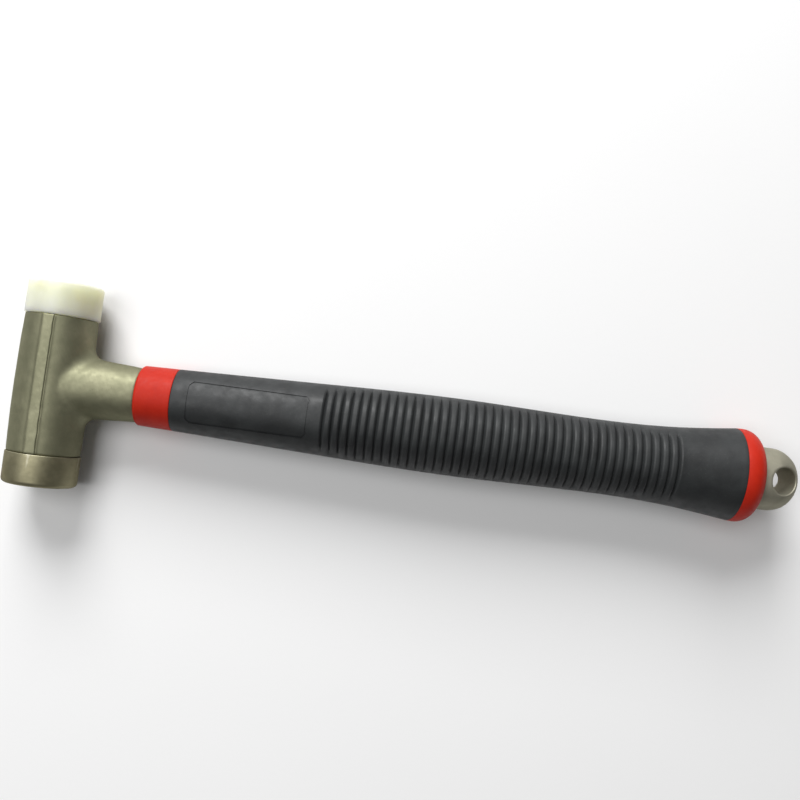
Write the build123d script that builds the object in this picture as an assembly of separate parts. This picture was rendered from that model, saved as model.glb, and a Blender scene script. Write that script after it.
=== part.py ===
"""Dead blow mallet: cast steel head on a tubular shaft, with a two-material grip.

The head is a hollow cast T. A hardened steel face closes one end of its barrel and a
nylon tip plugs into the other. Between them a chamber holds loose steel shot, which
slides to the struck end and stops the rebound. The neck of the casting takes a steel
tube, pinned under the grip's collar. The grip is a hard red core with a black rubber
cover, held against the neck by a domed plug that carries the hanging eye.

Frame, in millimetres: the origin is the centre of the steel striking face. +Y runs up
the head to the nylon face, +X runs from the head along the handle to the hanging eye,
and +Z completes the frame, square to both.
"""

import os
from math import hypot, sqrt

from build123d import *

# Head, measured along Y from the steel striking face
FACE_BAND_LENGTH = 13.0
FACE_EDGE_R = 1.9
FACE_TOP_CHAMFER = 0.4
FACE_SPIGOT_LENGTH = 8.0
BARREL_LENGTH = 57.0
TIP_LENGTH = 14.1
TIP_EDGE_R = 1.2
TIP_HEEL_R = 0.6

# Head, across the barrel
CHAMBER_R = 10.4
PLUG_LEDGE = 0.6
BARREL_WALL = 3.4
BARREL_SWELL = 0.6
BARREL_FACE_DROP = 0.5
BAND_STEP = 0.4
TIP_OVERHANG = 0.6
STRIP_WIDTH = 4.6
STRIP_HEIGHT = 0.3

# Nylon tip's plug and the cup that seals the shot chamber under it
TIP_SOCKET_DEPTH = 14.0
TIP_SOCKET_FLOOR_GAP = 0.4
TIP_PLUG_CLEARANCE = 0.05
TIP_PLUG_LEAD = 0.8
TIP_FLUTE_R = 0.8
TIP_FLUTE_COUNT = 12
CUP_HEIGHT = 4.0
CUP_THICKNESS = 1.2

# Steel shot
BALL_R = 2.0
BALL_GAP = 0.05
SHOT_WALL_GAP = 0.3
SHOT_FREE_TRAVEL = 7.0

# Neck of the casting, along X from the side of the barrel
NECK_LENGTH = 21.9
NECK_TAPER = 0.0635
NECK_BLEND_R = 5.5
SOCKET_FLOOR = 4.5
COLLAR_SEAT_LENGTH = 12.0
COLLAR_SEAT_WALL = 1.8
NECK_SHOULDER = 1.0

# Shaft tube and its pins
TUBE_R = 8.5
TUBE_WALL = 1.75
TUBE_END_GAP = 0.5
PIN_WALL = 0.7
PIN_SLIT = 0.6
SHAFT_PIN_R = 2.0
SHAFT_PIN_FROM_SHOULDER = 6.4
EYE_PIN_R = 1.5
EYE_PIN_FROM_SHOULDER = 12.0

# Grip, along X from the front of the collar
COLLAR_LENGTH = 15.0
COLLAR_FRONT_STEP = 0.5
COLLAR_CHAMFER_LENGTH = 0.7
COLLAR_R = 12.5
COVER_LENGTH = 232.75
COVER_THICKNESS = 2.4
FRONT_R = 12.9
SLOPE_FROM_FRONT = 60.7
SLOPE_R = 14.9
BELLY_FROM_FRONT = 120.2
BELLY_R = 16.2
WAIST_FROM_REAR = 52.0
WAIST_R = 15.4
KNEE_FROM_REAR = 22.0
KNEE_R = 16.75
FLARE_R = 19.3
REAR_RING_LENGTH = 9.35
REAR_RING_SWELL = 0.1
REAR_RING_ROUND = 7.0

# Grip ribs: grooves round the rubber
GROOVE_PITCH = 3.59
GROOVE_WIDTH = 1.2
GROOVE_DEPTH = 0.7
GROOVES_FROM_FRONT = 62.4
GROOVES_FROM_REAR = 26.0

# Blank label panel, a fine recessed outline on both sides of the grip
PANEL_FROM_FRONT = 6.8
PANEL_LENGTH = 49.5
PANEL_WIDTH = 17.0
PANEL_CORNER_R = 2.0
PANEL_LINE = 0.7
PANEL_DEPTH = 0.3

# Hanging eye
EYE_DOME_R = 13.0
EYE_NOSE_R = 11.0
EYE_SEAT_DEPTH = 3.0
EYE_SIDE_LENGTH = 9.0
EYE_SPIGOT_LENGTH = 26.0
EYE_SPIGOT_CHAMFER = 0.8
EYE_HOLE_R = 5.5
EYE_HOLE_FROM_END = 8.3
EYE_HOLE_RIM = 0.45

# Places along Y
BARREL_Y = FACE_BAND_LENGTH
TIP_Y = BARREL_Y + BARREL_LENGTH
HEAD_LENGTH = TIP_Y + TIP_LENGTH
HANDLE_Y = HEAD_LENGTH / 2
CHAMBER_Y = BARREL_Y + FACE_SPIGOT_LENGTH
LEDGE_Y = TIP_Y - TIP_SOCKET_DEPTH

# Radii of the head
SOCKET_R = CHAMBER_R + PLUG_LEDGE
BARREL_TIP_R = SOCKET_R + BARREL_WALL
BARREL_MID_R = BARREL_TIP_R + BARREL_SWELL
BARREL_FACE_R = BARREL_MID_R - BARREL_FACE_DROP
BAND_R = BARREL_FACE_R + BAND_STEP
TIP_R = BARREL_TIP_R + TIP_OVERHANG

# Places along X
SHOULDER_X = BARREL_MID_R + NECK_LENGTH
SEAT_END_X = SHOULDER_X + COLLAR_SEAT_LENGTH
TUBE_SOCKET_X = SOCKET_R + SOCKET_FLOOR
COVER_X = SHOULDER_X + COLLAR_LENGTH
COVER_END_X = COVER_X + COVER_LENGTH
GRIP_END_X = COVER_END_X + REAR_RING_LENGTH
EYE_SEAT_X = GRIP_END_X - EYE_SEAT_DEPTH
EYE_DOME_X = EYE_SEAT_X + EYE_SIDE_LENGTH
EYE_END_X = EYE_DOME_X + EYE_NOSE_R
EYE_HOLE_X = EYE_END_X - EYE_HOLE_FROM_END

# Radii along the handle
COLLAR_SEAT_R = TUBE_R + COLLAR_SEAT_WALL
NECK_END_R = COLLAR_SEAT_R + NECK_SHOULDER
NECK_ROOT_R = NECK_END_R + NECK_TAPER * SHOULDER_X
TUBE_BORE_R = TUBE_R - TUBE_WALL
GRIP_MAX_R = FLARE_R + REAR_RING_SWELL

HEAD_AXIS = Axis.Y
HANDLE_AXIS = Axis((0, HANDLE_Y, 0), (1, 0, 0))


def head_turned(*edges):
    """Turn a closed outline of (radius, y) edges about the head's axis."""
    return revolve(make_face(Curve() + list(edges)), axis=HEAD_AXIS)


def handle_turned(*edges):
    """Turn a closed outline of (x, radius) edges, drawn from y = 0, about the handle's axis."""
    outline = Pos(0, HANDLE_Y, 0) * make_face(Curve() + list(edges))
    return revolve(outline, axis=HANDLE_AXIS)


def head_rod(radius, start, end):
    """Return a cylinder on the head's axis between two places along Y."""
    return Pos(0, start, 0) * Rot(-90, 0, 0) * Cylinder(
        radius, end - start, align=(Align.CENTER, Align.CENTER, Align.MIN)
    )


def handle_rod(radius, start, end):
    """Return a cylinder on the handle's axis between two places along X."""
    return Pos(start, HANDLE_Y, 0) * Rot(0, 90, 0) * Cylinder(
        radius, end - start, align=(Align.CENTER, Align.CENTER, Align.MIN)
    )


def cross_rod(radius, x, length):
    """Return a cylinder along Z through the handle's axis."""
    return Pos(x, HANDLE_Y, 0) * Cylinder(radius, length)


def barrel_side(growth=0.0):
    """Return the barrel's gently swelled side as a curve of (radius, y), grown outwards if asked."""
    return Spline(
        (BARREL_FACE_R + growth, BARREL_Y),
        (BARREL_MID_R + growth, HANDLE_Y),
        (BARREL_TIP_R + growth, TIP_Y),
    )


def barrel_blank():
    """Return the barrel's outer form, solid."""
    ends = Polyline((BARREL_TIP_R, TIP_Y), (0, TIP_Y), (0, BARREL_Y), (BARREL_FACE_R, BARREL_Y))
    return head_turned(barrel_side(), ends)


def barrel_strip():
    """Return the flat raised strip that runs down one side of the barrel, towards +Z."""
    foot_r = SOCKET_R + STRIP_HEIGHT
    foot = Polyline(
        (BARREL_TIP_R + STRIP_HEIGHT, TIP_Y),
        (foot_r, TIP_Y),
        (foot_r, BARREL_Y),
        (BARREL_FACE_R + STRIP_HEIGHT, BARREL_Y),
    )
    outline = make_face(Curve() + [barrel_side(STRIP_HEIGHT), foot])
    return Rot(0, -90, 0) * extrude(outline, STRIP_WIDTH / 2, both=True)


def neck_blank():
    """Return the tapered neck from the middle of the barrel to the grip's collar, solid."""
    side = Polyline((0, 0), (0, NECK_ROOT_R), (SHOULDER_X, NECK_END_R), (SHOULDER_X, 0), close=True)
    return handle_turned(side)


def head_casting():
    """Cast T: barrel with a raised strip on each side, neck, and the sockets inside."""
    body = barrel_blank() + neck_blank()
    blend_edges = body.edges().filter_by(
        lambda edge: edge.geom_type not in (GeomType.CIRCLE, GeomType.LINE)
        and edge.bounding_box().size.Y > NECK_END_R
        and edge.bounding_box().size.Z > NECK_END_R / 2
    )
    body = fillet(blend_edges, NECK_BLEND_R)
    strip = barrel_strip()
    body += strip
    body += mirror(strip, Plane.XY)
    body += handle_rod(COLLAR_SEAT_R, SHOULDER_X, SEAT_END_X)
    body -= head_rod(CHAMBER_R, BARREL_Y, TIP_Y)
    body -= head_rod(SOCKET_R, LEDGE_Y, TIP_Y)
    body -= handle_rod(TUBE_R, TUBE_SOCKET_X, SEAT_END_X)
    body -= cross_rod(SHAFT_PIN_R, SHOULDER_X + SHAFT_PIN_FROM_SHOULDER, 4 * COLLAR_SEAT_R)
    return body


def striking_face():
    """Hardened steel face: a turned band with a spigot pressed into the barrel."""
    band = head_rod(BAND_R, 0, BARREL_Y)
    band = fillet(band.edges().group_by(Axis.Y)[0], FACE_EDGE_R)
    band = chamfer(band.edges().group_by(Axis.Y)[-1], FACE_TOP_CHAMFER)
    spigot = head_rod(CHAMBER_R, BARREL_Y, CHAMBER_Y)
    spigot = chamfer(spigot.edges().group_by(Axis.Y)[-1], FACE_TOP_CHAMFER)
    return band + spigot


def chamber_cup():
    """Pressed steel cup on the ledge that seals the shot in when the tip is out."""
    cup = head_rod(SOCKET_R, LEDGE_Y, LEDGE_Y + CUP_HEIGHT)
    return cup - head_rod(SOCKET_R - CUP_THICKNESS, LEDGE_Y + CUP_THICKNESS, LEDGE_Y + CUP_HEIGHT)


def nylon_tip():
    """Replaceable nylon tip: a rounded cap with a fluted plug for the socket."""
    cap = head_rod(TIP_R, TIP_Y, HEAD_LENGTH)
    cap = fillet(cap.edges().group_by(Axis.Y)[-1], TIP_EDGE_R)
    cap = fillet(cap.edges().group_by(Axis.Y)[0], TIP_HEEL_R)
    plug_r = SOCKET_R - TIP_PLUG_CLEARANCE
    plug_y = LEDGE_Y + CUP_HEIGHT + TIP_SOCKET_FLOOR_GAP
    plug = head_rod(plug_r, plug_y, TIP_Y)
    plug = chamfer(plug.edges().group_by(Axis.Y)[0], TIP_PLUG_LEAD)
    for index in range(TIP_FLUTE_COUNT):
        flute = Pos(plug_r, 0, 0) * head_rod(TIP_FLUTE_R, plug_y, TIP_Y)
        plug -= Rot(0, index * 360 / TIP_FLUTE_COUNT, 0) * flute
    return cap + plug


def shot_layer(odd):
    """Return the (x, z) places of one layer of balls, packed in triangles inside the chamber."""
    pitch = 2 * BALL_R + BALL_GAP
    row_step = pitch * sqrt(3) / 2
    reach = CHAMBER_R - SHOT_WALL_GAP - BALL_R
    rows = int(reach / row_step) + 2
    shift_x = pitch / 2 if odd else 0.0
    shift_z = pitch / (2 * sqrt(3)) if odd else 0.0
    places = []
    for row in range(-rows, rows + 1):
        for column in range(-2 * rows, 2 * rows + 1):
            x = (column + row / 2) * pitch + shift_x
            z = row * row_step + shift_z
            if hypot(x, z) <= reach:
                places.append((x, z))
    return places


def steel_shot():
    """Loose steel balls, packed in nested layers at the striking-face end."""
    layer_step = (2 * BALL_R + BALL_GAP) * sqrt(2 / 3)
    first_y = CHAMBER_Y + SHOT_WALL_GAP + BALL_R
    last_y = LEDGE_Y - SHOT_WALL_GAP - BALL_R - SHOT_FREE_TRAVEL
    layers = int((last_y - first_y) / layer_step) + 1
    balls = []
    for layer in range(layers):
        for x, z in shot_layer(layer % 2 == 1):
            balls.append(Pos(x, first_y + layer * layer_step, z) * Sphere(BALL_R))
    return Compound(children=balls)


def shaft_tube():
    """Steel tube from the neck's socket to the hanging eye, drilled for both pins."""
    start = TUBE_SOCKET_X + TUBE_END_GAP
    tube = handle_rod(TUBE_R, start, EYE_SEAT_X) - handle_rod(TUBE_BORE_R, start, EYE_SEAT_X)
    tube -= cross_rod(SHAFT_PIN_R, SHOULDER_X + SHAFT_PIN_FROM_SHOULDER, 4 * TUBE_R)
    tube -= cross_rod(EYE_PIN_R, EYE_SEAT_X - EYE_PIN_FROM_SHOULDER, 4 * TUBE_R)
    return tube


def spring_pin(radius, x, length):
    """Return a slotted spring pin along Z."""
    pin = cross_rod(radius, x, length) - cross_rod(radius - PIN_WALL, x, length)
    slit = Pos(x - radius, HANDLE_Y, 0) * Box(3 * PIN_WALL, PIN_SLIT, length)
    return pin - slit


def shaft_pin():
    """Spring pin that holds the tube in the neck, hidden under the collar."""
    length = 2 * sqrt(COLLAR_SEAT_R**2 - SHAFT_PIN_R**2)
    return spring_pin(SHAFT_PIN_R, SHOULDER_X + SHAFT_PIN_FROM_SHOULDER, length)


def eye_pin():
    """Spring pin that holds the hanging eye in the tube, hidden under the grip."""
    length = 2 * sqrt(TUBE_R**2 - EYE_PIN_R**2)
    return spring_pin(EYE_PIN_R, EYE_SEAT_X - EYE_PIN_FROM_SHOULDER, length)


def grip_outline(inset=0.0):
    """Return the curve of the rubber's outside as (x, radius), moved inwards by inset."""
    return Spline(
        (COVER_X, FRONT_R - inset),
        (COVER_X + SLOPE_FROM_FRONT, SLOPE_R - inset),
        (COVER_X + BELLY_FROM_FRONT, BELLY_R - inset),
        (COVER_END_X - WAIST_FROM_REAR, WAIST_R - inset),
        (COVER_END_X - KNEE_FROM_REAR, KNEE_R - inset),
        (COVER_END_X, FLARE_R - inset),
    )


def grip_profile(inset=0.0):
    """Return the flat half section under the rubber's outside, moved inwards by inset."""
    rear = Polyline((COVER_END_X, FLARE_R - inset), (COVER_END_X, 0), (COVER_X, 0))
    front = Line((COVER_X, 0), (COVER_X, FRONT_R - inset))
    return make_face(Curve() + [grip_outline(inset), rear, front])


def grip_blank(inset=0.0):
    """Return the rubber cover's outer form as a solid, moved inwards by inset."""
    return revolve(Pos(0, HANDLE_Y, 0) * grip_profile(inset), axis=HANDLE_AXIS)


def grip_core():
    """Hard red core: the collar in front, the flared ring behind, and the sleeve between."""
    chamfer_x = SHOULDER_X + COLLAR_CHAMFER_LENGTH
    collar = Polyline(
        (SHOULDER_X, 0),
        (SHOULDER_X, NECK_END_R + COLLAR_FRONT_STEP),
        (chamfer_x, COLLAR_R),
        (COVER_X, FRONT_R),
        (COVER_X, 0),
        close=True,
    )
    round_x = GRIP_END_X - REAR_RING_ROUND
    round_r = GRIP_MAX_R - REAR_RING_ROUND
    ring_side = Line((COVER_END_X, FLARE_R), (round_x, GRIP_MAX_R))
    ring_round = CenterArc((round_x, round_r), REAR_RING_ROUND, 0, 90)
    ring_back = Polyline((GRIP_END_X, round_r), (GRIP_END_X, 0), (COVER_END_X, 0), (COVER_END_X, FLARE_R))
    core = handle_turned(collar) + grip_blank(COVER_THICKNESS)
    core += handle_turned(ring_side, ring_round, ring_back)
    core -= handle_rod(COLLAR_SEAT_R, SHOULDER_X, SEAT_END_X)
    core -= handle_rod(TUBE_R, SHOULDER_X, GRIP_END_X)
    core -= handle_rod(EYE_DOME_R, EYE_SEAT_X, GRIP_END_X)
    return core


def groove_sections():
    """Return the flat half sections of all the grooves along the rubber."""
    first_x = COVER_X + GROOVES_FROM_FRONT
    span = COVER_LENGTH - GROOVES_FROM_FRONT - GROOVES_FROM_REAR
    count = int(span / GROOVE_PITCH) + 1
    slot = Rectangle(GROOVE_WIDTH, 4 * GRIP_MAX_R)
    slots = [Pos(first_x + index * GROOVE_PITCH, 0) * slot for index in range(count)]
    return Sketch() + slots - grip_profile(GROOVE_DEPTH)


def panel_outlines():
    """Return the cutter of the fine line round the blank label panel on each side of the grip."""
    outer = RectangleRounded(PANEL_LENGTH, PANEL_WIDTH, PANEL_CORNER_R)
    inner_length = PANEL_LENGTH - 2 * PANEL_LINE
    inner = RectangleRounded(inner_length, PANEL_WIDTH - 2 * PANEL_LINE, PANEL_CORNER_R - PANEL_LINE)
    middle_x = COVER_X + PANEL_FROM_FRONT + PANEL_LENGTH / 2
    frame = Pos(middle_x, HANDLE_Y, 0) * extrude(outer - inner, 2 * GRIP_MAX_R, both=True)
    return frame - grip_blank(PANEL_DEPTH)


def grip_cover():
    """Black rubber over the core, grooved for the fingers, with a blank label panel each side."""
    section = grip_profile() - grip_profile(COVER_THICKNESS) - groove_sections()
    rubber = revolve(Pos(0, HANDLE_Y, 0) * section, axis=HANDLE_AXIS)
    return rubber - panel_outlines()


def hanging_eye():
    """Domed steel plug with the cross hole that hangs the mallet up."""
    side = Polyline((EYE_END_X, 0), (EYE_SEAT_X, 0), (EYE_SEAT_X, EYE_DOME_R), (EYE_DOME_X, EYE_DOME_R))
    nose = CenterArc((EYE_DOME_X, EYE_DOME_R - EYE_NOSE_R), EYE_NOSE_R, 0, 90)
    eye = handle_turned(side, nose, Line((EYE_END_X, EYE_DOME_R - EYE_NOSE_R), (EYE_END_X, 0)))
    eye -= cross_rod(EYE_HOLE_R, EYE_HOLE_X, 4 * EYE_DOME_R)
    rim = eye.edges().filter_by(lambda edge: edge.geom_type not in (GeomType.CIRCLE, GeomType.LINE))
    eye = fillet(rim, EYE_HOLE_RIM)
    spigot = handle_rod(TUBE_BORE_R, EYE_SEAT_X - EYE_SPIGOT_LENGTH, EYE_SEAT_X)
    spigot = chamfer(spigot.edges().group_by(Axis.X)[0], EYE_SPIGOT_CHAMFER)
    spigot -= cross_rod(EYE_PIN_R, EYE_SEAT_X - EYE_PIN_FROM_SHOULDER, 4 * TUBE_R)
    return eye + spigot


PIECES = {
    "head_casting": head_casting,
    "striking_face": striking_face,
    "chamber_cup": chamber_cup,
    "nylon_tip": nylon_tip,
    "steel_shot": steel_shot,
    "shaft_tube": shaft_tube,
    "shaft_pin": shaft_pin,
    "eye_pin": eye_pin,
    "grip_core": grip_core,
    "grip_cover": grip_cover,
    "hanging_eye": hanging_eye,
}

os.makedirs("parts", exist_ok=True)
for name, make_piece in PIECES.items():
    piece = make_piece()
    piece.label = name
    export_step(piece, f"parts/{name}.step")
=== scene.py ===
"""The looks of the dead blow mallet: its turned, cast and moulded skins, finishes and studio.

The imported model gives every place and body. Each sub-assembly below is a class that holds
its own sizes in millimetres, builds its meshes with bmesh operators and dresses them. The
frame is the model's: the steel face is at the origin, +Y runs up the head to the nylon tip,
+X runs along the handle to the hanging eye, and +Z is the side that faces up.
"""

from __future__ import annotations

import logging
import math
from dataclasses import dataclass
from enum import Enum
from typing import Callable, Iterable

import bmesh
import bpy
import numpy as np
from mathutils import Matrix, Vector, noise

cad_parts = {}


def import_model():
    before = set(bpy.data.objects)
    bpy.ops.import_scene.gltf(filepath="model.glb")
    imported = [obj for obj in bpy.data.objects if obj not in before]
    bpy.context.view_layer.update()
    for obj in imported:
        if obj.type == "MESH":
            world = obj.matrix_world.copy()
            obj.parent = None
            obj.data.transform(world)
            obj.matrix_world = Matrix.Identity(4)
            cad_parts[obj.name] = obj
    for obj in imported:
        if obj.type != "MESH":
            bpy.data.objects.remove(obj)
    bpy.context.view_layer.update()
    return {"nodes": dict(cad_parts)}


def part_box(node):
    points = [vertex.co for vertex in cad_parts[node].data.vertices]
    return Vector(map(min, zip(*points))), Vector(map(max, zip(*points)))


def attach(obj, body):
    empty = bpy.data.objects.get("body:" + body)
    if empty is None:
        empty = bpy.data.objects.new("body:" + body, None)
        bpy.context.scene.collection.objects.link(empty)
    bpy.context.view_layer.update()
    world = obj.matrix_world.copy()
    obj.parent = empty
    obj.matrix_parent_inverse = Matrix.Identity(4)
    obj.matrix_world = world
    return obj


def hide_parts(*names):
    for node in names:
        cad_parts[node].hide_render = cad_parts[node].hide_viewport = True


LOG = logging.getLogger("mallet")
MM = 0.001
FULL_TURN = 2 * math.pi
MERGE_DISTANCE = 1e-7

Outline = list[tuple[float, float]]
Colour = tuple[float, float, float, float]


class Body(Enum):
    """The bodies that pieces ride on."""

    MALLET = "mallet"
    TIP = "tip"


class Spindle(Enum):
    """The two axes that turned pieces are turned about."""

    HEAD = "head"
    HANDLE = "handle"


# ---------------------------------------------------------------- finishes


class Shader:
    """A material's node tree, built up one node at a time."""

    def __init__(self, name: str) -> None:
        """Start a material with a principled surface and object coordinates.

        Args:
            name: The material's name.
        """
        self.material = bpy.data.materials.new(name)
        self.material.use_nodes = True
        self.tree = self.material.node_tree
        self.tree.nodes.clear()
        self.surface = self.node("ShaderNodeBsdfPrincipled")
        output = self.node("ShaderNodeOutputMaterial")
        self.tree.links.new(self.surface.outputs["BSDF"], output.inputs["Surface"])
        self.place = self.node("ShaderNodeTexCoord").outputs["Object"]

    def node(self, kind: str, **settings: object) -> bpy.types.Node:
        """Add a node.

        Args:
            kind: The node's type name.
            **settings: Properties to set on it.

        Returns:
            The new node.
        """
        made = self.tree.nodes.new(kind)
        for key, value in settings.items():
            setattr(made, key, value)
        return made

    def feed(self, target: bpy.types.NodeSocket, value: object) -> None:
        """Link a socket to another, or set it to a constant.

        Args:
            target: The input socket.
            value: An output socket, a number or a colour.
        """
        if isinstance(value, bpy.types.NodeSocket):
            self.tree.links.new(value, target)
        else:
            target.default_value = value

    def dress(self, sockets: dict[str, object]) -> None:
        """Feed inputs of the principled surface.

        Args:
            sockets: Each input's name and its value or source.
        """
        for name, value in sockets.items():
            self.feed(self.surface.inputs[name], value)

    def maths(self, operation: str, first: object, second: object = 0.0) -> bpy.types.NodeSocket:
        """Combine two values.

        Args:
            operation: The math node's operation.
            first: The first value or socket.
            second: The second value or socket.

        Returns:
            The result's socket.
        """
        made = self.node("ShaderNodeMath", operation=operation)
        self.feed(made.inputs[0], first)
        self.feed(made.inputs[1], second)
        return made.outputs[0]

    def grain(
        self, size: float, detail: float = 3.0, squeeze: tuple[float, ...] = (1, 1, 1), turn: float = 0.0
    ) -> bpy.types.NodeSocket:
        """Return noise of a given size.

        Args:
            size: The size of a blotch, in millimetres.
            detail: How many finer layers it has.
            squeeze: How much finer it is along each axis.
            turn: How far the axes are turned about Z, in degrees.

        Returns:
            The noise value's socket, from 0 to 1.
        """
        mapping = self.node("ShaderNodeMapping")
        mapping.vector_type = "TEXTURE"
        mapping.inputs["Rotation"].default_value = (0, 0, math.radians(turn))
        mapping.inputs["Scale"].default_value = [size * MM / part for part in squeeze]
        self.feed(mapping.inputs["Vector"], self.place)
        made = self.node("ShaderNodeTexNoise")
        made.inputs["Scale"].default_value = 1.0
        made.inputs["Detail"].default_value = detail
        self.feed(made.inputs["Vector"], mapping.outputs["Vector"])
        return made.outputs["Fac"]

    def spread(
        self, value: bpy.types.NodeSocket, low: float, high: float, to_low: float = 0.0, to_high: float = 1.0
    ) -> bpy.types.NodeSocket:
        """Stretch a part of a value's range over another range, clamped.

        Args:
            value: The value's socket.
            low: The value that gives to_low.
            high: The value that gives to_high.
            to_low: The result at low.
            to_high: The result at high.

        Returns:
            The result's socket.
        """
        made = self.node("ShaderNodeMapRange")
        self.feed(made.inputs["Value"], value)
        for name, number in (("From Min", low), ("From Max", high), ("To Min", to_low), ("To Max", to_high)):
            made.inputs[name].default_value = number
        return made.outputs["Result"]

    def blend(self, factor: object, first: object, second: object) -> bpy.types.NodeSocket:
        """Mix two colours.

        Args:
            factor: How much of the second colour shows.
            first: The first colour or socket.
            second: The second colour or socket.

        Returns:
            The mixed colour's socket.
        """
        made = self.node("ShaderNodeMix", data_type="RGBA")
        colours = [socket for socket in made.inputs if socket.type == "RGBA"]
        self.feed(made.inputs["Factor"], factor)
        self.feed(colours[0], first)
        self.feed(colours[1], second)
        return next(socket for socket in made.outputs if socket.type == "RGBA")

    def outer_edges(self, low: float, high: float) -> bpy.types.NodeSocket:
        # Mask of convex outer edges; the turned face uses it to lay a painted highlight.
        """Return how much a place is an outer edge, from 0 to 1, between two pointiness values."""
        return self.spread(self.node("ShaderNodeNewGeometry").outputs["Pointiness"], low, high)

    def lathe_lines(self, pitch: float) -> bpy.types.NodeSocket:
        """Return fine lines round the head's axis, as a lathe leaves on sides and ends.

        Args:
            pitch: The lines' spacing, in millimetres.

        Returns:
            The lines' value socket, from 0 to 1.
        """
        parts = self.node("ShaderNodeSeparateXYZ")
        self.feed(parts.inputs[0], self.place)
        squares = [self.maths("MULTIPLY", parts.outputs[axis], parts.outputs[axis]) for axis in ("X", "Z")]
        radius = self.maths("SQRT", self.maths("ADD", *squares))
        travel = self.maths("ADD", radius, parts.outputs["Y"])
        lines = self.node("ShaderNodeTexNoise", noise_dimensions="1D")
        self.feed(lines.inputs["W"], self.maths("MULTIPLY", travel, 1 / (pitch * MM)))
        lines.inputs["Scale"].default_value = 1.0
        lines.inputs["Detail"].default_value = 2.0
        return lines.outputs["Fac"]

    def relief(self, *layers: tuple[bpy.types.NodeSocket, float]) -> None:
        """Raise the surface by layers of height.

        Args:
            *layers: Each layer's value and its height in millimetres.
        """
        normal = None
        for height, depth in layers:
            made = self.node("ShaderNodeBump")
            made.inputs["Strength"].default_value = 1.0
            made.inputs["Distance"].default_value = depth * MM
            self.feed(made.inputs["Height"], height)
            if normal is not None:
                self.feed(made.inputs["Normal"], normal)
            normal = made.outputs["Normal"]
        self.feed(self.surface.inputs["Normal"], normal)


@dataclass(frozen=True)
class CastSteel:
    """Satin olive bronze coating over the fine skin of a casting."""

    name: str = "cast_steel"
    light: Colour = (0.285, 0.28, 0.185, 1)
    dark: Colour = (0.225, 0.224, 0.145, 1)
    pit: Colour = (0.11, 0.105, 0.07, 1)
    edge_tint: Colour = (0.45, 0.45, 0.44, 1)

    def make(self) -> bpy.types.Material:
        """Return the material."""
        shader = Shader(self.name)
        tone = shader.blend(shader.spread(shader.grain(9.0, 5.0), 0.35, 0.65), self.dark, self.light)
        strokes = shader.grain(1.0, 3.0, (1.6, 0.16, 0.5), 28.0)
        tone = shader.blend(shader.spread(strokes, 0.35, 0.75, 0.0, 0.45), tone, self.dark)
        pits = shader.spread(shader.grain(0.8, 3.0), 0.66, 0.78, 0.0, 0.5)
        shader.dress({
            "Base Color": shader.blend(pits, tone, self.pit),
            "Metallic": 0.85,
            "Specular Tint": self.edge_tint,
            "Roughness": shader.spread(shader.grain(2.2, 4.0), 0.3, 0.7, 0.52, 0.63),
        })
        shader.relief((shader.grain(0.5, 3.0), 0.020), (strokes, 0.008), (shader.grain(5.0, 2.0), 0.05))
        return shader.material


@dataclass(frozen=True)
class TurnedSteel:
    """Turned steel under a thin bronze coating, with lathe lines and a painted highlight: a lighter,
    bare-steel colour in patches along the outer edges.
    """

    name: str = "turned_steel"
    light: Colour = (0.30, 0.28, 0.18, 1)
    dark: Colour = (0.24, 0.222, 0.14, 1)
    # Painted highlight: the lighter colour laid on the outer edges.
    edge_highlight_tone: Colour = (0.48, 0.46, 0.36, 1)
    edge_tint: Colour = (0.5, 0.48, 0.45, 1)

    def make(self) -> bpy.types.Material:
        """Return the material."""
        shader = Shader(self.name)
        lines = shader.lathe_lines(0.28)
        cloud = shader.grain(6.0, 4.0)
        tone = shader.blend(shader.spread(cloud, 0.35, 0.65), self.dark, self.light)
        patches = shader.spread(cloud, 0.35, 0.6, 0.2, 0.8)
        # Painted highlight: the outer edges, broken into patches, take the lighter bare-steel colour.
        painted_edge_highlight = shader.maths("MULTIPLY", shader.outer_edges(0.52, 0.58), patches)
        shader.dress({
            "Base Color": shader.blend(painted_edge_highlight, tone, self.edge_highlight_tone),
            "Metallic": 0.92,
            "Specular Tint": self.edge_tint,
            "Roughness": shader.spread(shader.grain(1.6, 3.0), 0.3, 0.7, 0.46, 0.57),
        })
        shader.relief((lines, 0.012), (shader.grain(2.2, 2.0), 0.012))
        return shader.material


@dataclass(frozen=True)
class Nylon:
    """Natural ivory nylon, a little translucent, with faint turning lines and scuffs."""

    name: str = "nylon"
    ivory: Colour = (0.665, 0.675, 0.555, 1)
    honey: Colour = (0.66, 0.64, 0.475, 1)
    scuff: Colour = (0.72, 0.725, 0.64, 1)

    def make(self) -> bpy.types.Material:
        """Return the material."""
        shader = Shader(self.name)
        tone = shader.blend(shader.spread(shader.grain(14.0, 3.0), 0.4, 0.75), self.ivory, self.honey)
        scuffs = shader.spread(shader.grain(1.5, 4.0, (1, 5, 1)), 0.62, 0.75, 0.0, 0.5)
        shader.dress({
            "Base Color": shader.blend(scuffs, tone, self.scuff),
            "Roughness": shader.spread(shader.grain(2.0, 4.0), 0.3, 0.7, 0.30, 0.46),
            "Subsurface Weight": 1.0,
            "Subsurface Radius": (0.95, 0.95, 0.6),
            "Subsurface Scale": 0.02,
            "IOR": 1.53,
        })
        shader.relief((shader.lathe_lines(0.5), 0.010), (shader.grain(1.8, 3.0), 0.05))
        return shader.material


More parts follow.
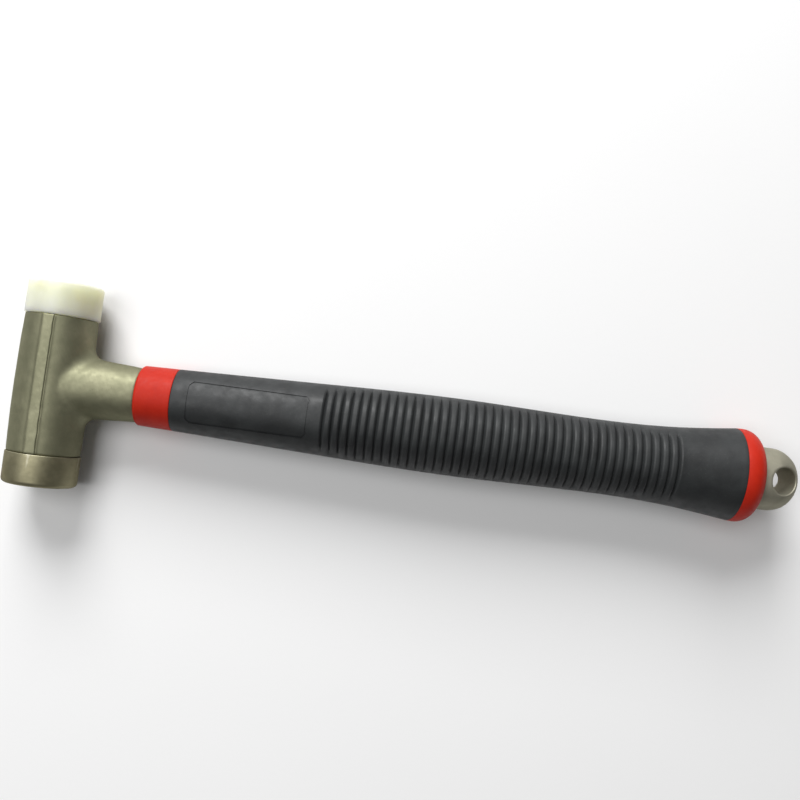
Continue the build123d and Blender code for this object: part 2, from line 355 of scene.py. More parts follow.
@dataclass(frozen=True)
class RedPlastic:
    """Red moulded plastic with a soft orange peel and faint scuffs."""

    name: str = "red_plastic"
    red: Colour = (0.50, 0.020, 0.006, 1)
    deep: Colour = (0.44, 0.015, 0.005, 1)
    scuff: Colour = (0.54, 0.08, 0.045, 1)

    def make(self) -> bpy.types.Material:
        """Return the material."""
        shader = Shader(self.name)
        tone = shader.blend(shader.spread(shader.grain(5.0, 3.0), 0.35, 0.7), self.red, self.deep)
        scuffs = shader.spread(shader.grain(0.9, 4.0, (1, 4, 4)), 0.66, 0.78, 0.0, 0.5)
        shader.dress({
            "Base Color": shader.blend(scuffs, tone, self.scuff),
            "Roughness": shader.spread(shader.grain(1.5, 4.0), 0.3, 0.7, 0.48, 0.62),
            "Specular IOR Level": 0.2,
        })
        shader.relief((shader.grain(0.8, 2.0), 0.018), (shader.grain(5.0, 2.0), 0.08))
        return shader.material


@dataclass(frozen=True)
class BlackRubber:
    """Matt black moulded rubber with a fine leathery grain, dusted and rubbed in places."""

    name: str = "black_rubber"
    black: Colour = (0.011, 0.0122, 0.0128, 1)
    rubbed: Colour = (0.022, 0.0245, 0.0252, 1)
    dust: Colour = (0.075, 0.08, 0.08, 1)

    def make(self) -> bpy.types.Material:
        """Return the material."""
        shader = Shader(self.name)
        cloud = shader.grain(11.0, 5.0)
        tone = shader.blend(shader.spread(cloud, 0.35, 0.7), self.black, self.rubbed)
        dust = shader.spread(shader.grain(0.6, 5.0), 0.60, 0.80, 0.0, 0.35)
        shader.dress({
            "Base Color": shader.blend(dust, tone, self.dust),
            "Roughness": shader.spread(shader.grain(4.0, 5.0), 0.3, 0.7, 0.46, 0.64),
            "Specular IOR Level": 0.46,
        })
        shader.relief((shader.grain(0.35, 2.0), 0.022), (shader.grain(3.0, 3.0), 0.06))
        return shader.material


@dataclass(frozen=True)
class DrawnSteel:
    """Plain steel with fine streaks along one axis, for the pieces inside."""

    name: str
    light: Colour
    dark: Colour
    squeeze: tuple[float, float, float]
    roughness: tuple[float, float]

    def make(self) -> bpy.types.Material:
        """Return the material."""
        shader = Shader(self.name)
        streaks = shader.grain(1.2, 4.0, self.squeeze)
        shader.dress({
            "Base Color": shader.blend(shader.spread(streaks, 0.3, 0.7), self.dark, self.light),
            "Metallic": 1.0,
            "Roughness": shader.spread(shader.grain(3.0, 4.0), 0.3, 0.7, *self.roughness),
        })
        shader.relief((streaks, 0.006))
        return shader.material


@dataclass(frozen=True)
class PaleFloor:
    """Plain pale floor with a barely uneven tone."""

    name: str = "pale_floor"
    pale: Colour = (0.90, 0.90, 0.90, 1)
    shade: Colour = (0.885, 0.885, 0.885, 1)

    def make(self) -> bpy.types.Material:
        """Return the material."""
        shader = Shader(self.name)
        shader.dress({
            "Base Color": shader.blend(shader.grain(120.0, 3.0), self.pale, self.shade),
            "Roughness": 0.75,
        })
        shader.relief((shader.grain(2.0, 3.0), 0.02))
        return shader.material


# ---------------------------------------------------------------- shared making


@dataclass(frozen=True)
class Frame:
    """Where the model's own pieces are, in millimetres."""

    handle_y: float

    @classmethod
    def read(cls) -> Frame:
        """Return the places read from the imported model."""
        low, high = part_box("grip_cover")
        return cls(handle_y=(low.y + high.y) / 2 / MM)

    def span(self, node: str, axis: int) -> tuple[float, float]:
        """Return a node's lowest and highest place along an axis."""
        low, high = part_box(node)
        return low[axis] / MM, high[axis] / MM


def drop_loose_edges(bm: bmesh.types.BMesh) -> None:
    """Delete the edges that no face uses, and the points that this leaves alone."""
    bmesh.ops.delete(bm, geom=[edge for edge in bm.edges if edge.is_wire], context="EDGES")
    bmesh.ops.delete(bm, geom=[vert for vert in bm.verts if not vert.link_edges], context="VERTS")


class Turned:
    """A piece turned about one of the mallet's two axes."""

    def __init__(self, frame: Frame, spindle: Spindle, outline: Outline, steps: int) -> None:
        """Spin a closed outline into a solid.

        Args:
            frame: The model's places.
            spindle: The axis to turn about.
            outline: (along, radius) points in millimetres, closed from last to first.
            steps: How many steps a full turn takes.
        """
        self.frame = frame
        self.spindle = spindle
        self.bm = bmesh.new()
        corners = [self.bm.verts.new(self.point(along, radius, 0.0)) for along, radius in outline]
        for first, second in zip(corners, corners[1:] + corners[:1]):
            self.bm.edges.new((first, second))
        bmesh.ops.spin(
            self.bm,
            geom=self.bm.verts[:] + self.bm.edges[:],
            cent=self.point(0.0, 0.0, 0.0),
            axis=self.direction,
            angle=FULL_TURN,
            steps=steps,
            use_merge=True,
        )
        bmesh.ops.remove_doubles(self.bm, verts=self.bm.verts[:], dist=MERGE_DISTANCE)
        spare = [face for face in self.bm.faces if face.calc_area() < MERGE_DISTANCE * MERGE_DISTANCE]
        bmesh.ops.delete(self.bm, geom=spare, context="FACES_ONLY")
        drop_loose_edges(self.bm)
        bmesh.ops.recalc_face_normals(self.bm, faces=self.bm.faces[:])

    @property
    def direction(self) -> Vector:
        """The direction of the axis."""
        return Vector((0, 1, 0)) if self.spindle is Spindle.HEAD else Vector((1, 0, 0))

    def point(self, along: float, radius: float, angle: float) -> Vector:
        """Return a place from its cylinder coordinates.

        Args:
            along: How far along the axis, in millimetres.
            radius: How far from the axis, in millimetres.
            angle: The turn from +Z, in radians.

        Returns:
            The place in metres.
        """
        side, up = radius * math.sin(angle), radius * math.cos(angle)
        if self.spindle is Spindle.HEAD:
            return Vector((side, along, up)) * MM
        return Vector((along, self.frame.handle_y + side, up)) * MM

    def measure(self, place: Vector) -> tuple[float, float, float]:
        """Return a place's cylinder coordinates.

        Args:
            place: The place, in metres.

        Returns:
            How far along the axis and from it, in millimetres, and the turn from +Z, in radians.
        """
        if self.spindle is Spindle.HEAD:
            along, side = place.y / MM, place.x / MM
        else:
            along, side = place.x / MM, place.y / MM - self.frame.handle_y
        up = place.z / MM
        return along, math.hypot(side, up), math.atan2(side, up)

    def round_rim(self, along: float, radius: float, size: float, segments: int) -> None:
        """Round a sharp circular rim.

        Args:
            along: The rim's place along the axis.
            radius: The rim's radius.
            size: The rounding's radius.
            segments: How many steps the rounding has.
        """
        rim = []
        for edge in self.bm.edges:
            ends = [self.measure(vert.co) for vert in edge.verts]
            if all(abs(end[0] - along) < 0.01 and abs(end[1] - radius) < 0.01 for end in ends):
                rim.append(edge)
        bmesh.ops.bevel(
            self.bm, geom=rim, offset=size * MM, segments=segments, profile=0.5, affect="EDGES", material=-1
        )

    def shift(self, inward: Callable[[float, float, float], float]) -> None:
        """Move every vertex towards the axis.

        Args:
            inward: A function of (along, radius, angle) that gives the shift in millimetres.
        """
        for vert in self.bm.verts:
            along, radius, angle = self.measure(vert.co)
            if radius > 0.1:
                vert.co = self.point(along, radius - inward(along, radius, angle), angle)


def finish_piece(
    bm: bmesh.types.BMesh, name: str, material: bpy.types.Material, sharp: float = 35.0
) -> bpy.types.Object:
    """Turn a bmesh into a smooth-shaded object at the origin.

    Args:
        bm: The mesh, which is freed.
        name: The piece's name.
        material: Its finish.
        sharp: The angle between faces past which an edge stays sharp, in degrees.

    Returns:
        The object.
    """
    mesh = bpy.data.meshes.new(name)
    bm.to_mesh(mesh)
    bm.free()
    made = bpy.data.objects.new(name, mesh)
    bpy.context.scene.collection.objects.link(made)
    mesh.materials.append(material)
    for polygon in mesh.polygons:
        polygon.use_smooth = True
    mesh.set_sharp_from_angle(angle=math.radians(sharp))
    return made


def mount(piece: bpy.types.Object, body: Body, node: str) -> bpy.types.Object:
    """Let a piece stand for a model node.

    Args:
        piece: The finished object.
        body: The body that it rides on.
        node: The node that it stands for.

    Returns:
        The same object.
    """
    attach(piece, body.value)
    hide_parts(node)
    LOG.info("%s stands for %s: %d faces", piece.name, node, len(piece.data.polygons))
    return piece


def resurfaced(node: bpy.types.Object, voxel: float, passes: int) -> bmesh.types.BMesh:
    """Give a copy of a model node one even skin with softened edges, as a casting has.

    Args:
        node: The model's object, which is left alone.
        voxel: The size of the new skin's faces, in millimetres.
        passes: How many times the skin is smoothed.

    Returns:
        The new skin.
    """
    bm = bmesh.new()
    bm.from_mesh(node.data)
    bmesh.ops.remove_doubles(bm, verts=bm.verts[:], dist=MERGE_DISTANCE)
    mesh = bpy.data.meshes.new("casting_blank")
    bm.to_mesh(mesh)
    bm.free()
    blank = bpy.data.objects.new("casting_blank", mesh)
    bpy.context.scene.collection.objects.link(blank)
    remesh = blank.modifiers.new("skin", "REMESH")
    remesh.mode = "VOXEL"
    remesh.voxel_size = voxel * MM
    skin = bmesh.new()
    skin.from_object(blank, bpy.context.evaluated_depsgraph_get())
    bpy.data.objects.remove(blank)
    for _ in range(passes):
        bmesh.ops.smooth_vert(
            skin, verts=skin.verts[:], factor=0.5, use_axis_x=True, use_axis_y=True, use_axis_z=True
        )
    return skin


def ripple(place: Vector, size: float) -> float:
    """Return smooth noise from -1 to 1 at a place, with blotches of a size in millimetres."""
    return noise.noise(place / (size * MM))


def smooth_step(value: float, low: float, high: float) -> float:
    """Return 0 below low, 1 above high and a smooth rise between."""
    share = min(1.0, max(0.0, (value - low) / (high - low)))
    return share * share * (3 - 2 * share)


class CubicCurve:
    """A smooth curve through a few (x, y) points, with no bending at its ends."""

    def __init__(self, points: Iterable[tuple[float, float]]) -> None:
        """Solve the curve's bending at each point.

        Args:
            points: The points, in order of x.
        """
        self.x, self.y = (np.array(part, float) for part in zip(*points))
        count = len(self.x)
        gap = np.diff(self.x)
        slope = np.diff(self.y) / gap
        system = np.eye(count)
        target = np.zeros(count)
        for index in range(1, count - 1):
            before, after = gap[index - 1], gap[index]
            system[index, index - 1 : index + 2] = before, 2 * (before + after), after
            target[index] = 6 * (slope[index] - slope[index - 1])
        self.bend = np.linalg.solve(system, target)

    def at(self, x: float) -> float:
        """Return the curve's height.

        Args:
            x: Where along the curve.

        Returns:
            The height there.
        """
        index = int(np.clip(np.searchsorted(self.x, x) - 1, 0, len(self.x) - 2))
        gap = self.x[index + 1] - self.x[index]
        left, right = (self.x[index + 1] - x) / gap, (x - self.x[index]) / gap
        bend = (left**3 - left) * self.bend[index] + (right**3 - right) * self.bend[index + 1]
        return float(left * self.y[index] + right * self.y[index + 1] + bend * gap * gap / 6)


def steps_between(start: float, end: float, step: float) -> list[float]:
    """Return even places from start to end, both included, about step apart."""
    count = max(1, round(abs(end - start) / step))
    return [start + (end - start) * index / count for index in range(count + 1)]


# ---------------------------------------------------------------- head


@dataclass
class Head:
    """The cast T, its turned steel face, and the nylon tip."""

    frame: Frame
    voxel: float = 0.46
    smoothing: int = 4
    cast_wave: float = 0.05
    crease_x: float = 2.25
    crease_half: float = 0.34
    crease_drift: float = 0.12
    crease_depth: float = 0.3
    crease_cuts: int = 9
    crease_reach: float = 2.5
    crease_band: float = 1.6
    turn_steps: int = 128
    tip_turn_steps: int = 192
    flute_row: float = 1.0
    face_edge: float = 1.9
    face_top_edge: float = 0.4
    face_spigot_r: float = 10.4
    tip_edge: float = 1.3
    tip_heel: float = 0.6
    tip_batter: float = 0.13
    tip_step: float = 0.9
    flute_count: int = 12
    flute_depth: float = 0.7
    flute_width: float = 1.6
    plug_r: float = 10.95
    plug_lead: float = 0.8

    def casting(self, node: bpy.types.Object, material: bpy.types.Material) -> bpy.types.Object:
        """Build the cast body.

        Args:
            node: The model's casting.
            material: Its finish.

        Returns:
            The piece.
        """
        bm = resurfaced(node, self.voxel, self.smoothing)
        self.press_crease(bm)
        bm.normal_update()
        for vert in bm.verts:
            wave = ripple(vert.co, 7.0) + 0.5 * ripple(vert.co, 2.5)
            vert.co += vert.normal * wave * self.cast_wave * MM
        piece = finish_piece(bm, "cast_head", material, 60.0)
        return mount(piece, Body.MALLET, "head_casting")

    def press_crease(self, bm: bmesh.types.BMesh) -> None:
        """Press the parting crease along one edge of the flat strip, on both sides.

        Args:
            bm: The casting's skin.
        """
        foot, head = self.frame.span("head_casting", 1)
        barrel_r = self.frame.span("striking_face", 0)[1]

        def outside(vert: bmesh.types.BMVert) -> bool:
            """Tell whether a vertex is on the barrel's outside near the crease.

            Args:
                vert: A vertex of the skin.

            Returns:
                Whether the crease may touch it.
            """
            place = vert.co / MM
            near = abs(place.x - self.crease_x) < self.crease_reach and foot < place.y < head
            return near and abs(place.z) > barrel_r - self.crease_band

        for share in steps_between(-1, 1, 2 / (self.crease_cuts - 1)):
            faces = [face for face in bm.faces if all(map(outside, face.verts))]
            geom = {item for face in faces for item in (face, *face.edges, *face.verts)}
            bmesh.ops.bisect_plane(
                bm,
                geom=list(geom),
                dist=MERGE_DISTANCE,
                plane_co=Vector((self.crease_x + share * self.crease_half, 0, 0)) * MM,
                plane_no=(1, 0, 0),
            )
        for vert in filter(outside, bm.verts):
            middle = self.crease_x + self.crease_drift * ripple(Vector((0, vert.co.y, 0)), 4.0)
            off = abs(vert.co.x / MM - middle) / self.crease_half
            if off < 1:
                depth = self.crease_depth * (0.5 + 0.5 * math.cos(math.pi * off))
                vert.co.z -= math.copysign(depth * MM, vert.co.z)

    def steel_face(self, material: bpy.types.Material) -> bpy.types.Object:
        """Build the turned steel face with its pressed-in spigot.

        Args:
            material: Its finish.

        Returns:
            The piece.
        """
        spigot_end = self.frame.span("striking_face", 1)[1]
        band_r = self.frame.span("striking_face", 0)[1]
        band_end = self.frame.span("head_casting", 1)[0]
        outline = [(0.0, 0.0), (0.0, band_r / 2), (0.0, band_r), (band_end / 2, band_r), (band_end, band_r)]
        outline += [(band_end, self.face_spigot_r), (spigot_end, self.face_spigot_r), (spigot_end, 0.0)]
        turned = Turned(self.frame, Spindle.HEAD, outline, self.turn_steps)
        turned.round_rim(0.0, band_r, self.face_edge, 8)
        turned.round_rim(band_end, band_r, self.face_top_edge, 3)
        piece = finish_piece(turned.bm, "turned_face", material)
        return mount(piece, Body.MALLET, "striking_face")

    def nylon_tip(self, material: bpy.types.Material) -> bpy.types.Object:
        """Build the nylon tip: a lightly battered cap on a fluted plug.

        Args:
            material: Its finish.

        Returns:
            The piece.
        """
        plug_start, top = self.frame.span("nylon_tip", 1)
        cap_start = self.frame.span("head_casting", 1)[1]
        cap_r = self.frame.span("nylon_tip", 0)[1]
        outline = [(plug_start, 0.0), (plug_start, self.plug_r - self.plug_lead)]
        plug_rows = steps_between(plug_start + self.plug_lead, cap_start, self.flute_row)
        outline += [(along, self.plug_r) for along in plug_rows]
        rim = 1.5 * self.tip_edge
        heel = 1.5 * self.tip_heel
        outline += [(cap_start, cap_r - heel), (cap_start, cap_r)]
        outline += [(along, cap_r) for along in steps_between(cap_start + heel, top - rim, self.tip_step)]
        outline += [(top, cap_r)]
        outline += [(top, radius) for radius in steps_between(cap_r - rim, 0.0, self.tip_step)]
        turned = Turned(self.frame, Spindle.HEAD, outline, self.tip_turn_steps)
        turned.round_rim(top, cap_r, self.tip_edge, 6)
        turned.round_rim(cap_start, cap_r, self.tip_heel, 4)

        def inward(along: float, radius: float, angle: float) -> float:
            """Return the flutes' depth on the plug and the batter near the struck edge.

            Args:
                along: The place along the head, in millimetres.
                radius: Its distance from the axis, in millimetres.
                angle: Its turn from +Z, in radians.

            Returns:
                How far the surface moves towards the axis, in millimetres.
            """
            if radius < self.plug_r + 0.1:
                if along > cap_start - 0.01 or along < plug_start + 0.01:
                    return 0.0
                pitch = FULL_TURN / self.flute_count
                off = abs((angle / pitch + 0.5) % 1 - 0.5) * pitch * radius
                return self.flute_depth * math.sqrt(max(0.0, 1 - (2 * off / self.flute_width) ** 2))
            near = smooth_step(along, cap_start + 1.0, top)
            place = turned.point(along, radius, angle)
            dents = ripple(place, 3.0) + 0.6 * ripple(place, 1.3)
            return (0.25 + 0.75 * near) * self.tip_batter * (0.4 + dents)

        turned.shift(inward)
        piece = finish_piece(turned.bm, "nylon_cap", material, 40.0)
        return mount(piece, Body.TIP, "nylon_tip")


# ---------------------------------------------------------------- grip


@dataclass
class Grip:
    """The hard red core with its collar and rear ring, and the ribbed black rubber over it."""

    frame: Frame
    front_r: float = 12.9
    slope: tuple[float, float] = (60.7, 14.9)
    belly: tuple[float, float] = (120.2, 16.2)
    waist: tuple[float, float] = (52.0, 15.4)
    knee: tuple[float, float] = (22.0, 16.75)
    flare_r: float = 19.3
    rubber: float = 2.4
    collar_nose_r: float = 11.8
    collar_chamfer: float = 0.7
    collar_r: float = 12.5
    collar_bore_r: float = 10.3
    collar_seat: float = 12.0
    tube_r: float = 8.5
    ring_r: float = 19.4
    ring_round: float = 7.0
    eye_r: float = 13.0
    eye_seat: float = 3.0
    rib_pitch: float = 3.59
    rib_count: int = 41
    rib_start: float = 62.4
    rib_rows: int = 8
    groove_depth: float = 1.05
    groove_half: float = 0.85
    panel_start: float = 6.8
    panel_length: float = 49.5
    panel_half: float = 8.5
    panel_line: float = 0.75
    panel_corner: float = 1.6
    panel_depth: float = 0.28
    panel_reach: float = 3.0
    joint_edge: float = 0.3
    turn_steps: int = 128
    cover_turn_steps: int = 144
    row: float = 1.6
    collar_row: float = 1.5
    sleeve_row: float = 6.0

    def __post_init__(self) -> None:
        """Work out the grip's places along the handle."""
        self.front, self.end = self.frame.span("grip_cover", 0)
        self.nose, self.back = self.frame.span("grip_core", 0)
        self.outside = CubicCurve([
            (self.front, self.front_r),
            (self.front + self.slope[0], self.slope[1]),
            (self.front + self.belly[0], self.belly[1]),
            (self.end - self.waist[0], self.waist[1]),
            (self.end - self.knee[0], self.knee[1]),
            (self.end, self.flare_r),
        ])

    def sleeve(self, start: float, end: float) -> Outline:
        """Return the line between core and rubber.

        Args:
            start: Where it starts along the handle.
            end: Where it ends.

        Returns:
            Its points, in order from start to end.
        """
        rows = steps_between(start, end, self.sleeve_row)
        return [(along, self.outside.at(along) - self.rubber) for along in rows]

    def core(self, material: bpy.types.Material) -> bpy.types.Object:
        """Build the red core: collar, sleeve and rear ring in one moulding.

        Args:
            material: Its finish.

        Returns:
            The piece.
        """
        chamfer_end = self.nose + self.collar_chamfer
        round_r = self.ring_r - self.ring_round
        last_turn = math.acos((self.eye_r - round_r) / self.ring_round)
        round_x = self.back - self.ring_round * math.sin(last_turn)
        seat = round_x + self.ring_round - self.eye_seat
        outline = [(self.nose, self.collar_bore_r), (self.nose, self.collar_nose_r)]
        flare = (self.front_r - self.collar_r) / (self.front - chamfer_end)
        outline += [
            (along, self.collar_r + flare * (along - chamfer_end))
            for along in steps_between(chamfer_end, self.front, self.collar_row)
        ]
        outline += self.sleeve(self.front, self.end)
        outline += [(self.end, self.flare_r)]
        outline += [
            (round_x + self.ring_round * math.sin(turn), round_r + self.ring_round * math.cos(turn))
            for turn in steps_between(0, last_turn, math.pi / 28)
        ]
        outline += [(seat, self.eye_r), (seat, self.tube_r), (self.nose + self.collar_seat, self.tube_r)]
        outline += [(self.nose + self.collar_seat, self.collar_bore_r)]
        turned = Turned(self.frame, Spindle.HANDLE, outline, self.turn_steps)
        turned.round_rim(self.nose, self.collar_nose_r, 0.2, 3)
        turned.round_rim(chamfer_end, self.collar_r, 0.3, 3)
        turned.round_rim(self.front, self.front_r, self.joint_edge, 3)
        turned.round_rim(self.end, self.flare_r, self.joint_edge, 3)
        piece = finish_piece(turned.bm, "red_core", material)
        return mount(piece, Body.MALLET, "grip_core")

    def groove_reach(self, index: float) -> tuple[float, float]:
        """Return where a groove starts and ends its fade round the grip.

        Args:
            index: The groove's number from the front, from 0.

        Returns:
            The angles from the nearer of +Z and -Z, in degrees, where it starts to fade and is gone.
        """
        middle = smooth_step(index, -1, 5) * (1 - smooth_step(index, self.rib_count - 11, self.rib_count - 2))
        return 42 + 16 * middle, 64 + 22 * middle

    def groove(self, along: float, angle: float) -> float:
        """Return how deep the ribbed rubber is cut at a place.

        Args:
            along: The place along the handle, in millimetres.
            angle: Its turn from +Z, in radians.

        Returns:
            The depth in millimetres, a little below zero on a rib's crown.
        """
        number = (along - self.front - self.rib_start) / self.rib_pitch
        index = round(number)
        if not 0 <= index < self.rib_count:
            return 0.0
        off = abs(number - index) * self.rib_pitch
        crown = 0.06 * (1 - math.cos(FULL_TURN * (number - index))) / 2
        cut = 0.5 + 0.5 * math.cos(math.pi * min(1.0, off / self.groove_half))
        lean = math.degrees(min(abs(angle), math.pi - abs(angle)))
        start, end = self.groove_reach(index)
        return (self.groove_depth * cut - crown) * (1 - smooth_step(lean, start, end))

    def cover(self, material: bpy.types.Material) -> bpy.types.Object:
        """Build the black rubber with its grooves and blank label panels.

        Args:
            material: Its finish.

        Returns:
            The piece.
        """
        rib_from = self.front + self.rib_start - self.rib_pitch / 2
        rib_to = rib_from + self.rib_count * self.rib_pitch
        rows = steps_between(self.front, rib_from, self.row)
        rows += steps_between(rib_from, rib_to, self.rib_pitch / self.rib_rows)[1:]
        rows += steps_between(rib_to, self.end, self.row)[1:]
        outline = [(along, self.outside.at(along)) for along in rows]
        outline += self.sleeve(self.end, self.front)
        turned = Turned(self.frame, Spindle.HANDLE, outline, self.cover_turn_steps)
        turned.round_rim(self.front, self.front_r, self.joint_edge, 3)
        turned.round_rim(self.end, self.flare_r, self.joint_edge, 3)
        self.press_panels(turned)

        def inward(along: float, radius: float, angle: float) -> float:
            """Return the groove's depth on the outside and nothing inside.

            Args:
                along: The place along the handle, in millimetres.
                radius: Its distance from the axis, in millimetres.
                angle: Its turn from +Z, in radians.

            Returns:
                How far the surface moves towards the axis, in millimetres.
            """
            if radius < self.outside.at(along) - self.rubber / 2:
                return 0.0
            return self.groove(along, angle)

        turned.shift(inward)
        piece = finish_piece(turned.bm, "rubber_cover", material, 50.0)
        return mount(piece, Body.MALLET, "grip_cover")

    def press_panels(self, turned: Turned) -> None:
        """Sink the fine outline of the blank label panel into both sides.

        Args:
            turned: The rubber, before its grooves.
        """
        bm = turned.bm
        start, end = self.front + self.panel_start, self.front + self.panel_start + self.panel_length
        centre_x, centre_y = (start + end) / 2, self.frame.handle_y

        def near(face: bmesh.types.BMFace) -> bool:
            """Tell whether a face lies on the outside near a panel.

            Args:
                face: A face of the rubber.

            Returns:
                Whether the panel's outline may cut it.
            """
            along, radius, _ = turned.measure(face.calc_center_median())
            side = abs(face.calc_center_median().y / MM - centre_y)
            outside = radius > self.outside.at(along) - self.rubber / 2
            beside = start - self.panel_reach < along < end + self.panel_reach
            return outside and beside and side < self.panel_half + self.panel_reach

        def cut(place: tuple[float, float], normal: tuple[float, float]) -> None:
            """Score the rubber along an upright plane.

            Args:
                place: A point of the plane along X and Y, in millimetres.
                normal: The plane's direction along X and Y.
            """
            faces = [face for face in bm.faces if near(face)]
            geom = {item for face in faces for item in (face, *face.edges, *face.verts)}
            bmesh.ops.bisect_plane(
                bm,
                geom=list(geom),
                dist=MERGE_DISTANCE,
                plane_co=Vector((place[0], place[1], 0)) * MM,
                plane_no=Vector((normal[0], normal[1], 0)),
            )

        half_x = (end - start) / 2

        def corner_reach(inset: float) -> float:
            """Return how far out the cut corners are, across and up added together, for an inset."""
            return half_x + self.panel_half - self.panel_corner - inset * math.sqrt(2)

        for inset in (0.0, self.panel_line):
            corner = corner_reach(inset)
            for side in (-1, 1):
                cut((centre_x + side * (half_x - inset), centre_y), (1, 0))
                cut((centre_x, centre_y + side * (self.panel_half - inset)), (0, 1))
                for other in (-1, 1):
                    cut((centre_x + side * corner, centre_y), (side, other))

        def inside(place: Vector, inset: float) -> bool:
            """Tell whether a place is within the panel's outline.

            Args:
                place: The place, in metres.
                inset: How far the outline is moved inwards, in millimetres.

            Returns:
                Whether the place is inside it.
            """
            across, up = abs(place.x / MM - centre_x), abs(place.y / MM - centre_y)
            within = across < half_x - inset and up < self.panel_half - inset
            return within and across + up < corner_reach(inset)

        line = []
        for face in bm.faces:
            middle = face.calc_center_median()
            if near(face) and inside(middle, 0.0) and not inside(middle, self.panel_line):
                line.append(face)
        walls = bmesh.ops.extrude_face_region(bm, geom=line)
        for item in walls["geom"]:
            if isinstance(item, bmesh.types.BMVert):
                along, radius, angle = turned.measure(item.co)
                item.co = turned.point(along, radius - self.panel_depth, angle)
        bmesh.ops.delete(bm, geom=[face for face in line if face.is_valid], context="FACES_ONLY")
        drop_loose_edges(bm)
        bmesh.ops.recalc_face_normals(bm, faces=bm.faces[:])


# ---------------------------------------------------------------- shaft and hidden pieces


@dataclass
class Shaft:
    """The domed hanging eye, and the pieces that the head and grip hide."""

    frame: Frame
    voxel: float = 0.34
    smoothing: int = 3
    forge_wave: float = 0.05

    def hanging_eye(self, node: bpy.types.Object, material: bpy.types.Material) -> bpy.types.Object:
        """Build the domed eye.

        Args:
            node: The model's eye.
            material: Its finish.

        Returns:
            The piece.
        """
        bm = resurfaced(node, self.voxel, self.smoothing)
        bm.normal_update()
        for vert in bm.verts:
            vert.co += vert.normal * ripple(vert.co, 4.0) * self.forge_wave * MM
        piece = finish_piece(bm, "domed_eye", material, 60.0)
        return mount(piece, Body.MALLET, "hanging_eye")

    @staticmethod
    def dress(nodes: dict[str, bpy.types.Object], finishes: dict[str, bpy.types.Material]) -> None:
        """Give the hidden model nodes their finishes.

        Args:
            nodes: The model's objects by name.
            finishes: Each hidden node's material.
        """
        for name, material in finishes.items():
            nodes[name].data.materials.clear()
            nodes[name].data.materials.append(material)
            LOG.info("%s keeps its own mesh, in %s", name, material.name)


# ---------------------------------------------------------------- studio


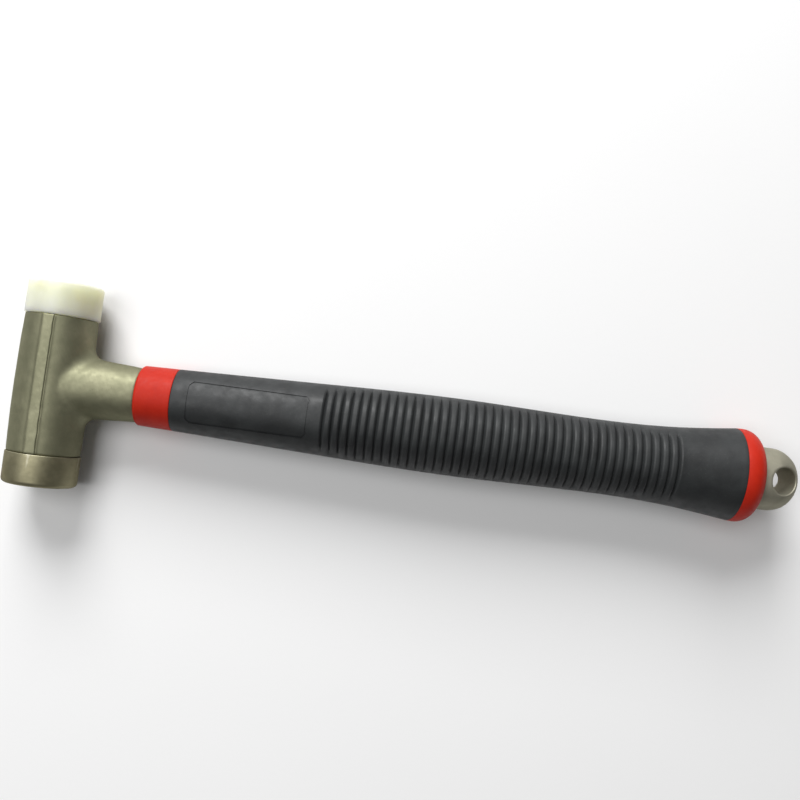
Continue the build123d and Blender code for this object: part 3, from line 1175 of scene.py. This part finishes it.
@dataclass
class Studio:
    """The pale floor, the soft lights and the camera."""

    frame: Frame
    floor_size: float = 6000.0
    flare_inset: float = 6.0
    middle_along: float = 145.0
    camera_along: float = 142.6
    camera_aside: float = 3.1
    camera_height: float = 365.0
    camera_turn: tuple[float, float, float] = (1.46, -0.21, 7.61)
    field_of_view: float = 49.12
    world_strength: float = 0.12

    def floor(self, material: bpy.types.Material) -> None:
        """Lay the floor under the barrel and the flare, which the mallet rests on.

        Args:
            material: Its finish.
        """
        barrel_z = self.frame.span("head_casting", 2)[0]
        flare_z = self.frame.span("grip_core", 2)[0]
        flare_x = self.frame.span("grip_core", 0)[1] - self.flare_inset
        slope = math.atan2(flare_z - barrel_z, flare_x)
        bm = bmesh.new()
        bmesh.ops.create_grid(bm, x_segments=8, y_segments=8, size=self.floor_size * MM / 2)
        bmesh.ops.rotate(bm, verts=bm.verts[:], cent=(0, 0, 0), matrix=Matrix.Rotation(-slope, 3, "Y"))
        bmesh.ops.translate(bm, verts=bm.verts[:], vec=(0, 0, barrel_z * MM))
        finish_piece(bm, "floor", material)

    def soft_light(self, name: str, place: tuple[float, float, float], size: float, watts: float) -> None:
        """Hang one square soft light that faces the mallet.

        Args:
            name: The light's name.
            place: Where it hangs, in millimetres from the middle of the mallet.
            size: Its side, in millimetres.
            watts: Its power.
        """
        middle = Vector((self.middle_along, self.frame.handle_y, 0))
        lamp = bpy.data.lights.new(name, "AREA")
        lamp.size = size * MM
        lamp.energy = watts
        made = bpy.data.objects.new(name, lamp)
        bpy.context.scene.collection.objects.link(made)
        made.location = (middle + Vector(place)) * MM
        made.rotation_euler = (-Vector(place)).to_track_quat("-Z", "Y").to_euler()

    def lights(self) -> None:
        """Hang the lights and set the even light of the room."""
        self.soft_light("key", (-450, 1500, 1000), 1000, 39.0)
        self.soft_light("overhead", (-550, 100, 1350), 900, 10.0)
        world = bpy.data.worlds.new("room")
        bpy.context.scene.world = world
        world.use_nodes = True
        background = world.node_tree.nodes["Background"]
        background.inputs["Color"].default_value = (1, 1, 1, 1)
        background.inputs["Strength"].default_value = self.world_strength
        bpy.context.scene.view_settings.view_transform = "Standard"

    def camera(self) -> None:
        """Set the camera above the grip, turned so that the handle slopes down to the right."""
        place = Vector((self.camera_along, self.frame.handle_y + self.camera_aside, self.camera_height)) * MM
        turn = Matrix.Identity(4)
        for degrees, axis in zip(self.camera_turn, "XYZ"):
            turn = turn @ Matrix.Rotation(math.radians(degrees), 4, axis)
        lens = bpy.data.cameras.new("camera")
        lens.angle = math.radians(self.field_of_view)
        lens.clip_start = 0.01
        made = bpy.data.objects.new("camera", lens)
        bpy.context.scene.collection.objects.link(made)
        made.matrix_world = Matrix.Translation(place) @ turn
        bpy.context.scene.camera = made


def main() -> None:
    """Load the model, build every piece around it, and set the studio."""
    logging.basicConfig(level=logging.INFO, format="%(name)s: %(message)s")
    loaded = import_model()
    nodes = loaded["nodes"]
    frame = Frame.read()

    cast_steel = CastSteel().make()
    head = Head(frame)
    head.casting(nodes["head_casting"], cast_steel)
    head.steel_face(TurnedSteel().make())
    head.nylon_tip(Nylon().make())

    grip = Grip(frame)
    grip.core(RedPlastic().make())
    grip.cover(BlackRubber().make())

    shaft = Shaft(frame)
    eye_steel = CastSteel("forged_eye", (0.46, 0.44, 0.35, 1), (0.37, 0.355, 0.28, 1), (0.20, 0.19, 0.15, 1))
    shaft.hanging_eye(nodes["hanging_eye"], eye_steel.make())
    tube = DrawnSteel(
        "tube_steel", light=(0.60, 0.60, 0.61, 1), dark=(0.42, 0.42, 0.43, 1),
        squeeze=(0.1, 3, 3), roughness=(0.26, 0.42)
    ).make()
    pin = DrawnSteel(
        "spring_steel", light=(0.20, 0.20, 0.22, 1), dark=(0.11, 0.11, 0.12, 1),
        squeeze=(3, 3, 0.2), roughness=(0.35, 0.5)
    ).make()
    ball = DrawnSteel(
        "ball_steel", light=(0.66, 0.66, 0.68, 1), dark=(0.50, 0.50, 0.52, 1),
        squeeze=(1, 1, 1), roughness=(0.12, 0.3)
    ).make()
    hidden = {"shaft_tube": tube, "chamber_cup": tube, "shaft_pin": pin, "eye_pin": pin, "steel_shot": ball}
    shaft.dress(nodes, hidden)

    studio = Studio(frame)
    studio.floor(PaleFloor().make())
    studio.lights()
    studio.camera()


if __name__ == "__main__":
    main()
